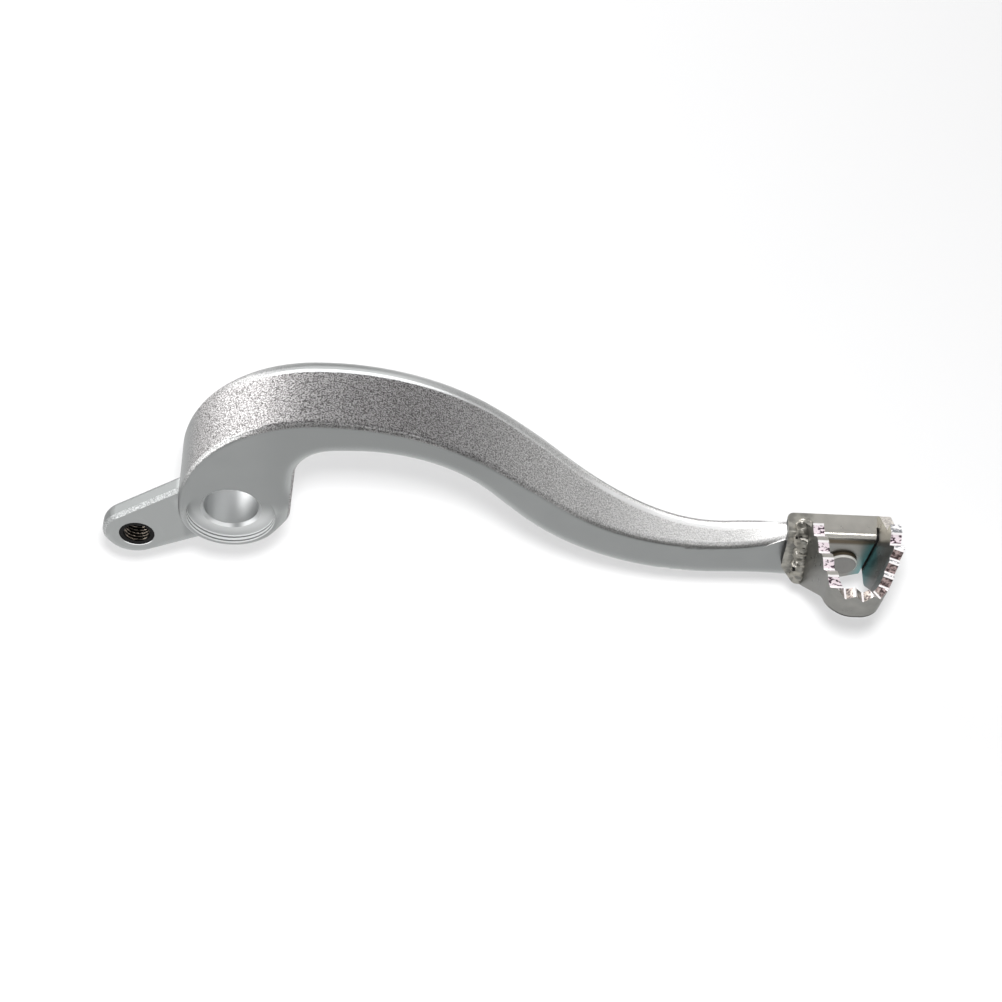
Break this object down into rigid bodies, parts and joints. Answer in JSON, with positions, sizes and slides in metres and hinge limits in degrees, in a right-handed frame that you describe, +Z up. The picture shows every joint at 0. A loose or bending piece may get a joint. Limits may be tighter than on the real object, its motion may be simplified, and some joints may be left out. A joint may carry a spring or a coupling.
{
  "type": "rear brake pedal",
  "caption": "Motorbike rear brake pedal: an arched aluminium arm with a pivot boss, a lug for the push rod, and a folded steel step with a toothed loop riveted to its end.",
  "frame": {"origin": "on the pivot axis, halfway along the bore", "axes": "+X forward from the pivot to the step, +Y along the pivot axis towards the machine, +Z up"},
  "size_m": [0.2623, 0.0631, 0.08],
  "materials": {
    "cast_aluminium": "satin, blasted on the top of the arch",
    "black_steel": "blackened",
    "plated_sheet": "dull plated",
    "rivet_steel": "dull plated"
  },
  "bodies": {
    "root": {"pedal_arm": "cast_aluminium", "thread_insert": "black_steel", "step_plate": "plated_sheet", "step_rivet": "rivet_steel"}
  },
  "joints": []
}
